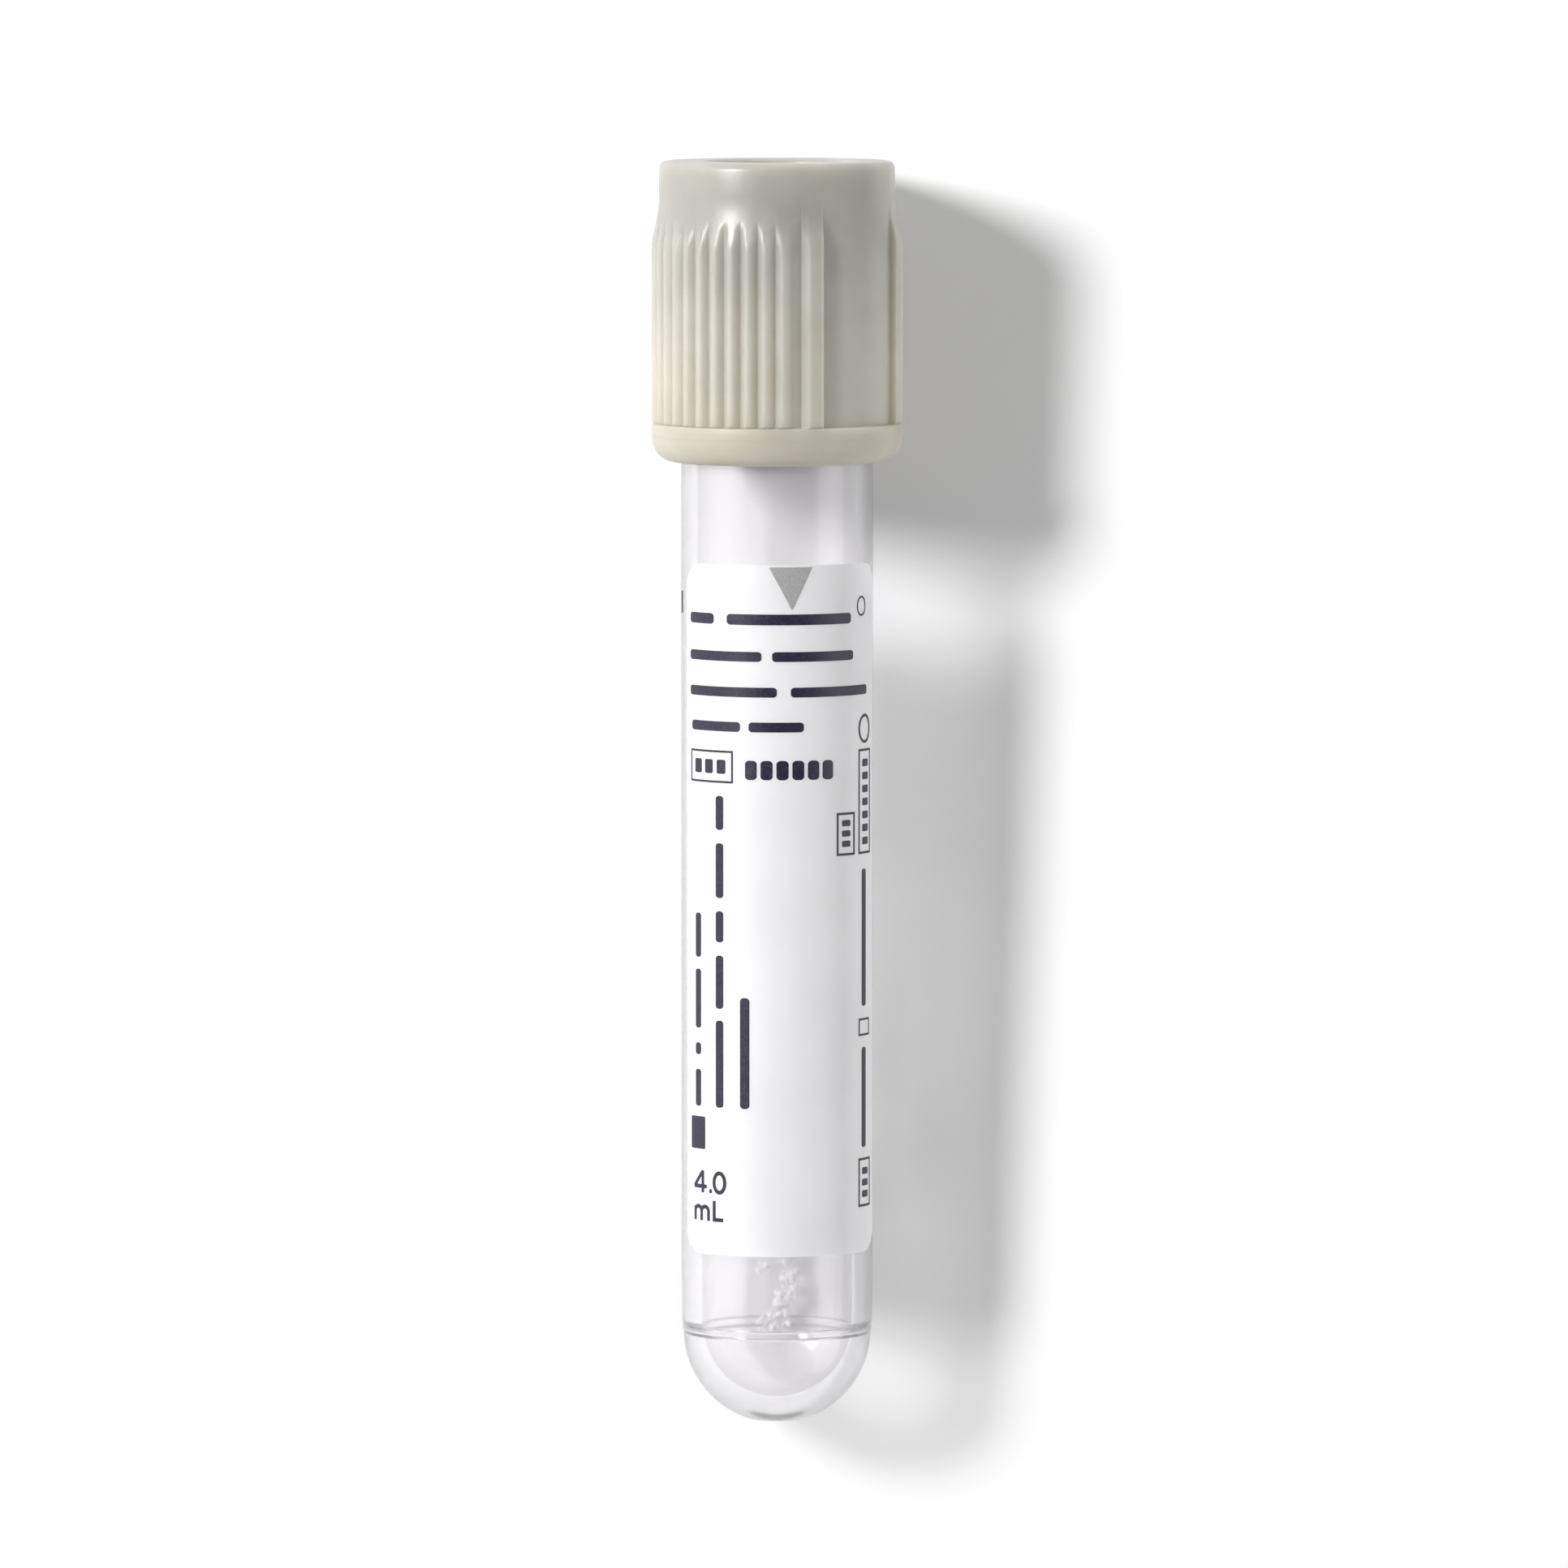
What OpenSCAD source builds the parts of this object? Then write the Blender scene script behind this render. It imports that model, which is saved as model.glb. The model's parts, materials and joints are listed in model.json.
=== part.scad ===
// Blood collection tube: a clear moulded tube, a two-part closure (ribbed shield
// snapped over a rubber stopper), a paper label and a dry additive inside.
// Millimetres. Every piece is drawn upright on the tube's own axis, with the round
// end at height 0, and lie_down() then lays the whole tube on its side, as it rests.

/* [Tube] */
// Length of the tube from its round end to its rim
tube_length = 75; // [75:1:100]
// Outer diameter of the barrel
tube_d = 13; // [12.9:0.05:13.2]
// Diameter of the bore where the stopper seals it
bore_mouth_d = 10.84; // [10.8:0.02:10.9]
// Diameter of the bore where it meets the round end
bore_base_d = 10.2; // [9.8:0.1:10.6]
// Thickness of the wall at the tip of the round end
tip_wall = 1.3; // [1:0.1:1.6]
// Radius of the round end
dome_r = 6.35; // [6.3:0.01:6.36]
// Height of the moulded parting ring above the tip
ring_height = 6.03; // [5.9:0.01:6.2]
// Width of the parting ring
ring_width = 0.5; // [0.3:0.1:0.8]

/* [Closure] */
// Height of the shield
shield_height = 20.34; // [20:0.02:21]
// How much of the tube the shield covers
shield_overlap = 9.94; // [9:0.02:10.5]
// Radius of the skirt over the crests of the ribs and over the belt
shield_r = 8.5; // [8.4:0.05:8.7]
// Radius of the shield's smooth collar and panels, and of the valleys between the ribs
collar_r = 7.97; // [7.9:0.01:8.05]
// Radius of the bore that slides over the tube
skirt_bore_r = 6.82; // [6.8:0.01:6.9]
// Radius of the opening over the stopper
port_r = 4.7; // [4.4:0.1:5]
// Number of narrow ribs in each of the two finger grips
narrow_ribs = 12; // [8:1:12]
// Angle from one narrow rib to the next, in degrees
rib_pitch = 8.35; // [8:0.05:8.5]
// Radial play between the stopper's plug and the bore of the tube
plug_play = 0.04; // [0.03:0.01:0.06]
// Length of the stopper's plug inside the tube
plug_length = 7.5; // [6.5:0.1:8]
// Radius of the needle well in the stopper
well_r = 3.3; // [3.2:0.1:3.4]

/* [Label] */
// Height of the label's lower edge above the tip of the round end
label_low = 11.7; // [11.5:0.1:13]
// Height of the label
label_height = 46.7; // [40:0.1:46.8]
// Angle that the label wraps round the barrel, in degrees
label_wrap = 147; // [120:1:160]
// Turn of the label's middle from the front of the tube, in degrees
label_turn = 5.5; // [-10:0.5:10]
// Thickness of the label
label_thick = 0.1; // [0.08:0.01:0.15]
// Radius of the label's corners
label_corner = 1.9; // [1:0.1:2.5]

/* [Additive] */
// Length of the heap of powder
heap_length = 9; // [6:0.5:12]
// Depth of the heap of powder
heap_depth = 0.75; // [0.5:0.05:1]

/* [Hidden] */
$fn = 96;
tiny = 0.01;
beyond = 1; // how far a cutter runs past the face that it cuts

tube_r = tube_d / 2;
barrel_foot = 11; // above this height the barrel is a true cylinder
foot_r = tube_r - 0.07; // the barrel has narrowed to this where it meets the ring
ring_r = tube_r - 0.12;
shield_base = tube_length - shield_overlap;
barrel_top = shield_base - 0.5; // from here to the rim the barrel has a slight lead-in
rim_r = tube_r - 0.05;
rim_round = 0.35;
bore_mouth_r = bore_mouth_d / 2;
bore_base_r = bore_base_d / 2;
bore_seat = 9; // depth of the straight stretch of bore that seals round the plug
bore_centre = tip_wall + bore_base_r; // height of the inner dome's centre

rim_fillet = 1.6; // round outer corner at the shield's foot
rim_steps = 12; // rings that make up that round corner
belt_top = 2.6; // the belt under the ribs ends here, above the shield's foot
belt_chamfer = 0.15;
skirt_lead_in = 0.3;
crest_r = shield_r - 0.03; // ribs stay just inside the belt
crest_round = 0.28; // radius of a narrow rib's crest
crest_arc = 120; // how much of a circle the crest is
root_half = 0.53; // half the width of a narrow rib at its root
rib_steps = 6; // flats round a rib's crest
wide_rib = 10.5; // angle of the broad rib that ends each grip
wide_ease = 1.5; // its side next to the narrow ribs slopes by this angle
wide_crown = 0.02; // its middle stands this far proud of its sides
rib_low = 1; // ribs start inside the belt, at this height
rib_root = collar_r - 0.1; // and inside the collar, at this radius
shoulder_root = collar_r - 0.08; // the shoulder runs out inside the collar too
wide_gap = 14.45; // from the last narrow rib's crest to the middle of the broad rib
grip_turn = -44.35; // middle of the first grip, from the front of the tube
shoulder_low = 13.6; // the ribs' shoulder starts here, above the shield's foot
shoulder_high = 17.9;
shoulder_steps = 10;
top_fillet = 0.4;
top_wall = 1.44;
port_chamfer = 0.2;
catch_low = 12.3; // inner ring that holds the stopper by its groove
catch_height = 1.5;
catch_r = 5.75;
chamber_r = 6.7; // room for the stopper's upper flange

flange_low_height = 2.2; // the flange that seals on the tube's rim
flange_r = 6.6;
flange_chamfer = 0.25;
neck_r = 5.6;
well_depth = 7.2;
dish_r = 4.2; // the mouth of the well
dish_depth = 2.2;
plug_hollow_r = 3.3;
plug_hollow = 3.4;
plug_chamfer = 0.5;

corner_ease = 1.02; // the corner's arc crosses the label's edges instead of touching them

heap_middle = 8.8; // height of the middle of the heap above the tip
heap_half_width = 1.25;
heap_spread = 0.36; // the lumps reach this share of its length either way
lump_count = 13;
lump_r = 0.42;
lump_range = [1.25, 0.6, 0.2]; // size at the middle, loss towards the edge, variation
lump_wave = 97; // angle that varies the lumps' sizes
golden_turn = 137.5; // angle that spreads the lumps evenly
heap_play = 0.03; // the powder stays this far inside the bore

// The tube lies on two circles: the ring end of the barrel and the foot of the shield.
rest_span = shield_base + rim_fillet - (ring_height + ring_width);
rest_drop = shield_r - rim_fillet - foot_r;
rest_tilt = asin(rim_fillet / norm([rest_span, rest_drop])) + atan2(rest_drop, rest_span);
axis_lift = foot_r * cos(rest_tilt) - (ring_height + ring_width) * sin(rest_tilt);
tip_flat_r = sqrt(pow(dome_r, 2) - pow(ring_height, 2));
low_end = -tip_flat_r * sin(rest_tilt);
high_end = (tube_length + shield_height - shield_overlap - top_fillet) * cos(rest_tilt)
    + (collar_r - top_fillet) * sin(rest_tilt) + top_fillet;

// Lays the upright tube on its side: closure towards +Y, front of the tube up.
module lie_down()
    translate([0, -(low_end + high_end) / 2, axis_lift])
        rotate([rest_tilt - 90, 0, 0])
            children();

// Turns what stands on +X to an angle counted from the front of the tube.
module turn_from_front(angle)
    rotate([0, 0, angle - 90])
        children();

module tube_outside() {
    intersection() {
        translate([0, 0, ring_height]) sphere(dome_r);
        cylinder(r = tube_r, h = ring_height + tiny);
    }
    translate([0, 0, ring_height])
        cylinder(r = ring_r, h = ring_width + tiny);
    translate([0, 0, ring_height + ring_width])
        cylinder(r1 = foot_r, r2 = tube_r, h = barrel_foot - ring_height - ring_width);
    translate([0, 0, barrel_foot])
        cylinder(r = tube_r, h = barrel_top - barrel_foot);
    translate([0, 0, barrel_top])
        cylinder(r1 = tube_r, r2 = rim_r, h = tube_length - barrel_top - rim_round);
    translate([0, 0, tube_length - rim_round])
        cylinder(r1 = rim_r, r2 = rim_r - rim_round / 2, h = rim_round);
}

module tube_bore(play = 0) {
    translate([0, 0, bore_centre])
        sphere(bore_base_r - play);
    translate([0, 0, bore_centre])
        cylinder(r1 = bore_base_r - play, r2 = bore_mouth_r - play,
            h = tube_length - bore_seat - bore_centre);
    translate([0, 0, tube_length - bore_seat])
        cylinder(r = bore_mouth_r - play, h = bore_seat + beyond);
}

module tube()
    color([0.9, 0.92, 0.95, 0.35])
        lie_down()
            difference() {
                tube_outside();
                tube_bore();
            }

// Section of a narrow rib, standing on +X: a round crest on sloping flanks.
module narrow_rib_section() {
    crest = [for (i = [0 : rib_steps])
        let (a = crest_arc * (i / rib_steps - 0.5))
        [crest_r - crest_round + crest_round * cos(a), crest_round * sin(a)]];
    polygon(concat([[rib_root, -root_half]], crest, [[rib_root, root_half]]));
}

// Section of a broad rib: flat crest, one steep side towards the smooth panel.
module wide_rib_section(side) {
    half = wide_rib / 2;
    polygon([
        for (p = [[rib_root, -half - wide_ease], [crest_r, -half], [crest_r + wide_crown, 0],
                  [crest_r, half], [rib_root, half]])
            p[0] * [cos(p[1]), side * sin(p[1])]]);
}

// One finger grip: a run of narrow ribs between two broad ones.
module grip_section() {
    run = (narrow_ribs - 1) * rib_pitch / 2;
    for (i = [0 : narrow_ribs - 1])
        rotate(-run + i * rib_pitch)
            narrow_rib_section();
    for (side = [-1, 1])
        rotate(side * (run + wide_gap))
            wide_rib_section(side);
}

// The ribs fade into the collar along an S-shaped shoulder.
module rib_envelope() {
    outer = crest_r + 2 * wide_crown;
    shoulder = [for (i = [0 : shoulder_steps])
        let (f = i / shoulder_steps)
        [shoulder_root + (outer - shoulder_root) * (1 + cos(180 * f)) / 2,
         shoulder_low + f * (shoulder_high - shoulder_low)]];
    rotate_extrude()
        polygon(concat([[0, rib_low], [outer, rib_low]], shoulder, [[0, shoulder_high]]));
}

// Section of the belt that joins the ribs at the foot, with a round lower corner.
module belt_profile() {
    rim = [for (i = [0 : rim_steps])
        let (a = 90 * i / rim_steps)
        [shield_r - rim_fillet + rim_fillet * sin(a), rim_fillet * (1 - cos(a))]];
    polygon(concat([[0, 0]], rim, [[shield_r, belt_top - belt_chamfer],
        [shield_r - belt_chamfer, belt_top], [0, belt_top]]));
}

module shield_outside() {
    rotate_extrude() belt_profile();
    translate([0, 0, rib_low])
        cylinder(r = collar_r, h = shield_height - top_fillet - rib_low);
    translate([0, 0, shield_height - top_fillet])
        rotate_extrude() {
            square([collar_r - top_fillet, top_fillet]);
            intersection() {
                translate([collar_r - top_fillet, 0]) circle(top_fillet);
                square([collar_r, top_fillet]);
            }
        }
    intersection() {
        translate([0, 0, rib_low])
            linear_extrude(shoulder_high)
                for (turn = [grip_turn, grip_turn + 180])
                    rotate(turn - 90)
                        grip_section();
        rib_envelope();
    }
}

module shield_inside() {
    translate([0, 0, -beyond])
        cylinder(r = skirt_bore_r, h = catch_low + beyond);
    cylinder(r1 = skirt_bore_r + skirt_lead_in, r2 = skirt_bore_r, h = skirt_lead_in);
    cylinder(r = catch_r, h = catch_low + catch_height + tiny);
    translate([0, 0, catch_low + catch_height])
        cylinder(r = chamber_r, h = shield_height - top_wall - catch_low - catch_height);
    cylinder(r = port_r, h = shield_height + beyond);
    translate([0, 0, shield_height - port_chamfer])
        cylinder(r1 = port_r, r2 = port_r + port_chamfer + beyond, h = port_chamfer + beyond);
}

module shield()
    color([0.8, 0.79, 0.73])
        lie_down()
            translate([0, 0, shield_base])
                difference() {
                    shield_outside();
                    shield_inside();
                }

// The stopper is drawn with the tube's rim at height 0.
module stopper_outside() {
    neck_base = flange_low_height;
    top = shield_height - shield_overlap - top_wall;
    catch_top = catch_low + catch_height - shield_overlap;
    plug_r = bore_mouth_r - plug_play;
    translate([0, 0, -plug_length])
        cylinder(r1 = plug_r - plug_chamfer, r2 = plug_r, h = plug_chamfer);
    translate([0, 0, plug_chamfer - plug_length])
        cylinder(r = plug_r, h = plug_length - plug_chamfer + tiny);
    cylinder(r = flange_r, h = neck_base - flange_chamfer);
    translate([0, 0, neck_base - flange_chamfer])
        cylinder(r1 = flange_r, r2 = flange_r - flange_chamfer, h = flange_chamfer);
    cylinder(r = neck_r, h = catch_top + tiny);
    translate([0, 0, catch_top])
        cylinder(r = flange_r, h = top - catch_top - flange_chamfer);
    translate([0, 0, top - flange_chamfer])
        cylinder(r1 = flange_r, r2 = flange_r - flange_chamfer, h = flange_chamfer);
}

module stopper_inside() {
    top = shield_height - shield_overlap - top_wall;
    translate([0, 0, top - dish_depth])
        cylinder(r1 = well_r, r2 = dish_r, h = dish_depth);
    translate([0, 0, top])
        cylinder(r = dish_r, h = beyond);
    translate([0, 0, top - well_depth])
        cylinder(r = well_r, h = well_depth);
    translate([0, 0, -plug_length - beyond])
        cylinder(r = plug_hollow_r, h = plug_hollow + beyond);
}

module stopper()
    color([0.42, 0.42, 0.42])
        lie_down()
            translate([0, 0, tube_length])
                difference() {
                    stopper_outside();
                    stopper_inside();
                }

// A cutter that leaves one round corner of the label, drawn at that corner.
module label_corner_cut(sx, sy) {
    inset = label_corner / tube_r * 180 / PI;
    out = label_corner + beyond;
    turn_from_front(label_turn + sx * (label_wrap / 2 - inset))
        translate([tube_r - beyond, 0, label_low + label_height / 2
            + sy * (label_height / 2 - label_corner)])
            rotate([0, 90, 0])
                difference() {
                    translate([min(0, -sy * out), min(0, sx * out), 0])
                        cube([out, out, 2 * beyond]);
                    translate([0, 0, -beyond])
                        cylinder(h = 2 * out, r = corner_ease * label_corner);
                }
}

module label()
    color([0.96, 0.96, 0.97])
        lie_down()
            difference() {
                translate([0, 0, label_low])
                    rotate([0, 0, label_turn - 90 - label_wrap / 2])
                        rotate_extrude(angle = label_wrap)
                            translate([tube_r, 0])
                                square([label_thick, label_height]);
                for (sx = [-1, 1], sy = [-1, 1])
                    label_corner_cut(sx, sy);
            }

// The powder lies along the lowest line of the bore, in a shallow bed with lumps on it.
module heap_shape() {
    bed_r = (pow(heap_length / 2, 2) + pow(heap_depth, 2)) / (2 * heap_depth);
    translate([0, bore_base_r - heap_depth + bed_r, heap_middle])
        sphere(bed_r, $fn = 240);
    for (i = [1 : lump_count]) {
        out = sqrt(i / lump_count);
        along = heap_length * heap_spread * out * cos(golden_turn * i);
        across = heap_half_width * out * sin(golden_turn * i);
        size = lump_r * (lump_range[0] - lump_range[1] * out + lump_range[2] * sin(lump_wave * i));
        drop = pow(along, 2) / (2 * bed_r);
        translate([across, bore_base_r - heap_depth + drop, heap_middle + along])
            sphere(size, $fn = 24);
    }
}

module additive()
    color([0.95, 0.95, 0.96])
        lie_down()
            intersection() {
                tube_bore(heap_play);
                heap_shape();
            }

tube();
shield();
stopper();
label();
additive();
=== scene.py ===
"""Blood collection tube: a clear moulded tube with a ribbed two-part closure, a paper
label and a dry additive, lying on a pale studio floor.

Lengths in the properties are metres. Inside the build functions every size is in
millimetres in the tube's own frame: r from the axis, s along the axis from the tip of
the round end, and an angle round the axis, from the top of the lying tube towards +X.
"""

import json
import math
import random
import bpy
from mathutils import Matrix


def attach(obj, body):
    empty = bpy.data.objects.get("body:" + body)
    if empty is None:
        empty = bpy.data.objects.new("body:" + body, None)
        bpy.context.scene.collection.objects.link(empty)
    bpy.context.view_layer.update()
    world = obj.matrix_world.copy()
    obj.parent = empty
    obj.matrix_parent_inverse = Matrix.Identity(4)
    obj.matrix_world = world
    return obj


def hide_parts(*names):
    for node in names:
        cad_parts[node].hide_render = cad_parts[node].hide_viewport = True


bl_info = {
    "name": "Sample Tube Builder",
    "version": (1, 0, 0),
    "blender": (4, 5, 0),
    "location": "3D View > Sidebar > Sample Tube",
    "description": "Builds a lying blood collection tube, part by part",
    "category": "Add Mesh",
}

import bmesh
import bpy
import numpy as np
from mathutils import Matrix, Vector

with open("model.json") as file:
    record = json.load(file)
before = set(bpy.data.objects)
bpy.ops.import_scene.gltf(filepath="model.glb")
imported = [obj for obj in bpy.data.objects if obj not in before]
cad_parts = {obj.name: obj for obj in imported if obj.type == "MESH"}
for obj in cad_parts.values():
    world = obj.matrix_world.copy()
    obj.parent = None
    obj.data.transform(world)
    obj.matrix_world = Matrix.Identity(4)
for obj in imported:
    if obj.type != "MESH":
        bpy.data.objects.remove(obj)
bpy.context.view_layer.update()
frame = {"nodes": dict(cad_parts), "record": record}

MM = 0.001  # one millimetre, in metres


# -------------------------------- the tube's frame


def named(rows, name):
    """The row of the record that has this name."""
    return next(row for row in rows if row["name"] == name)


barrel_mount = named(frame["record"]["mounts"], "tube_barrel")
ACROSS = Vector((1.0, 0.0, 0.0))
ALONG = -Vector(barrel_mount["axis"]).normalized()
UP = ACROSS.cross(ALONG).normalized()


def node_points(node, origin):
    """Vertices of a CAD node as (across, up, along) millimetres from origin."""
    points = np.array([v.co for v in frame["nodes"][node].data.vertices], float)
    points = (points - np.array(origin)) / MM
    return points @ np.array([ACROSS, UP, ALONG]).T


MOUNT_POINT = Vector(barrel_mount["pos_m"])
TIP = MOUNT_POINT + MM * float(node_points("tube", MOUNT_POINT)[:, 2].min()) * ALONG


def node_reach(node):
    """Lowest and highest s of a CAD node, and its largest r, in millimetres."""
    points = node_points(node, TIP)
    radius = np.hypot(points[:, 0], points[:, 1]).max()
    return float(points[:, 2].min()), float(points[:, 2].max()), float(radius)


def node_turn(node):
    """Lowest and highest angle of a CAD node round the axis, in radians."""
    points = node_points(node, TIP)
    angle = np.arctan2(points[:, 0], points[:, 1])
    return float(angle.min()), float(angle.max())


_, TUBE_HIGH, TUBE_RADIUS = node_reach("tube")
SHIELD_LOW, SHIELD_HIGH, SHIELD_RADIUS = node_reach("shield")
STOPPER_LOW, STOPPER_HIGH, STOPPER_RADIUS = node_reach("stopper")
LABEL_LOW, LABEL_HIGH, LABEL_RADIUS = node_reach("label")
LABEL_LEFT, LABEL_RIGHT = node_turn("label")
HEAP_LOW, HEAP_HIGH, _ = node_reach("additive")


def place(r, turn, s):
    """World points, in metres, of arrays of r, angle and s."""
    r, turn, s = np.broadcast_arrays(r, turn, s)
    local = np.stack([r * np.sin(turn), r * np.cos(turn), s], axis=-1)
    return np.array(TIP) + MM * local.reshape(-1, 3) @ np.array([ACROSS, UP, ALONG])


# -------------------------------- mesh helpers

STRAIGHT = 179  # degrees: a corner that opens wider than this needs no rounding
WELD, SLIVER = 1e-8, 1e-9  # metres: points and edges that are merged into one


def arc(centre, radius, start, end, steps):
    """Points on an arc in the (r, s) plane, from start to end, in degrees."""
    return [
        (
            centre[0] + radius * math.cos(math.radians(a)),
            centre[1] + radius * math.sin(math.radians(a)),
        )
        for a in np.linspace(start, end, steps + 1)
    ]


def rounded(corners, degrees_a_step=15):
    """A polyline through corners (a, b, fillet radius), rounded between its two ends."""
    points = []
    for i, (a, b, fillet) in enumerate(corners):
        if i in (0, len(corners) - 1) or fillet <= 0:
            points.append((a, b))
            continue
        here = Vector((a, b))
        before = Vector(corners[i - 1][:2]) - here
        after = Vector(corners[i + 1][:2]) - here
        opening = before.angle(after)
        if opening > math.radians(STRAIGHT):
            points.append((a, b))
            continue
        back = fillet / math.tan(opening / 2)
        back = min(back, 0.499 * before.length, 0.499 * after.length)
        size = back * math.tan(opening / 2)
        first = here + before.normalized() * back
        last = here + after.normalized() * back
        middle = (before.normalized() + after.normalized()).normalized()
        centre = here + middle * (size / math.sin(opening / 2))
        turned = math.pi - opening
        steps = max(2, round(math.degrees(turned) / degrees_a_step))
        spoke, other = first - centre, last - centre
        for k in range(steps + 1):
            f = k / steps
            part = (
                spoke * math.sin((1 - f) * turned) + other * math.sin(f * turned)
            ) / math.sin(turned)
            points.append(tuple(centre + part))
    return points


def show(name, data):
    """An object in the scene, made from a mesh, a lamp or a camera."""
    thing = bpy.data.objects.new(name, data)
    bpy.context.scene.collection.objects.link(thing)
    return thing


def make_object(name, points, faces):
    """A clean mesh object from world points: merged, and with its faces turned outwards."""
    mesh = bpy.data.meshes.new(name)
    mesh.from_pydata([tuple(p) for p in points], [], faces)
    work = bmesh.new()
    work.from_mesh(mesh)
    bmesh.ops.remove_doubles(work, verts=work.verts, dist=WELD)
    bmesh.ops.dissolve_degenerate(work, edges=work.edges, dist=SLIVER)
    bmesh.ops.recalc_face_normals(work, faces=work.faces)
    work.to_mesh(mesh)
    work.free()
    mesh.update()
    return show(name, mesh)


def smooth(piece, degrees=32):
    """Shades a piece smooth, apart from edges that turn by more than these degrees."""
    piece.data.shade_smooth()
    piece.data.set_sharp_from_angle(angle=math.radians(degrees))


def skin(name, r, s, turns, closed=False):
    """A mesh round all turns, over arrays r and s with a row for each profile point.

    The profile either ends on the axis or is closed, and then its ends meet.
    """
    rows, columns = len(r), len(turns)
    points = place(r, turns, s)
    faces = []
    for k in range(rows if closed else rows - 1):
        low, high = k * columns, ((k + 1) % rows) * columns
        for j in range(columns):
            n = (j + 1) % columns
            faces.append((low + j, low + n, high + n, high + j))
    return make_object(name, points, faces)


def lathe(name, profile, columns=224):
    """A solid of revolution from (r, s) points that begin and end on the axis."""
    turns = np.linspace(0, 2 * math.pi, columns, endpoint=False)
    r, s = np.array(profile, float).T[:, :, None]
    return skin(name, r, s, turns)


# -------------------------------- material helpers

MIX_SHARE, MIX_FIRST, MIX_SECOND, MIX_RESULT = 0, 6, 7, 2  # a Mix node's colour sockets


def toned(colour, *shares):
    """A colour times one share, or with each channel times a share of its own."""
    if len(shares) == 1:
        shares *= 3
    return tuple(min(1, c * share) for c, share in zip(colour, shares))


def feed(tree, socket, value):
    """Gives a socket a plain value, or links a node's output to it."""
    if isinstance(value, bpy.types.NodeSocket):
        tree.links.new(value, socket)
    else:
        socket.default_value = value


def add_node(tree, kind, sockets, **settings):
    """A node with its settings, and with values or outputs for some of its sockets."""
    node = tree.nodes.new(kind)
    for key, value in settings.items():
        setattr(node, key, value)
    for key, value in sockets.items():
        feed(tree, node.inputs[key], value)
    return node


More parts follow.
